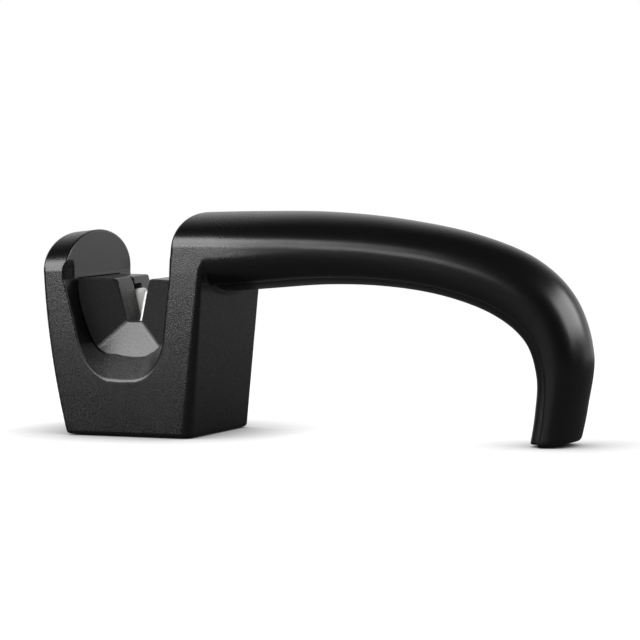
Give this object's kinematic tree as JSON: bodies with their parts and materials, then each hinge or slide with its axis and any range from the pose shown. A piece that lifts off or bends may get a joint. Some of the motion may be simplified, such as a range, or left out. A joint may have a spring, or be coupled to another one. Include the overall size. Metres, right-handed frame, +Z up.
{
  "type": "knife sharpener",
  "caption": "Hand-held kitchen knife sharpener: a block head with a V slot between crossed ceramic rods, open at both faces, and an arched grip that runs down to a tail on the table.",
  "frame": {"origin": "on the table, under the middle of the whole part", "axes": "+X along the length from the head to the tail, +Y from the front face to the rear face, +Z up"},
  "size_m": [0.2004, 0.056, 0.0814],
  "materials": {
    "shell_plastic": "fine spark-eroded grain on the head, satin on the grip",
    "liner_plastic": "satin",
    "guide_plastic": "fine matt grain",
    "rod_ceramic": "ground, fine",
    "sole_rubber": "matt",
    "cushion_rubber": "matt",
    "screw_steel": "zinc plated"
  },
  "bodies": {
    "frame": {"main_shell": "shell_plastic", "handle_liner": "liner_plastic", "base_plate": "liner_plastic", "base_sole": "sole_rubber", "front_guide": "guide_plastic", "rear_guide": "guide_plastic", "rod_cushion_right": "cushion_rubber", "rod_cushion_left": "cushion_rubber", "base_screw_1": "screw_steel", "base_screw_2": "screw_steel", "base_screw_3": "screw_steel", "base_screw_4": "screw_steel", "guide_screw_1": "screw_steel", "guide_screw_2": "screw_steel", "guide_screw_3": "screw_steel", "guide_screw_4": "screw_steel", "liner_screw_1": "screw_steel", "liner_screw_2": "screw_steel", "liner_screw_3": "screw_steel"},
    "right_rod": {"rod_right": "rod_ceramic"},
    "left_rod": {"rod_left": "rod_ceramic"}
  },
  "joints": [
    {"name": "right_rod_turn", "type": "hinge", "parent": "frame", "child": "right_rod", "pos_m": [-0.07049, -0.005, 0.0312], "axis": [0.1994, 0, 0.9799], "continuous": true},
    {"name": "left_rod_turn", "type": "hinge", "parent": "frame", "child": "left_rod", "pos_m": [-0.07233, 0.005, 0.0312], "axis": [-0.1994, 0, 0.9799], "continuous": true}
  ]
}
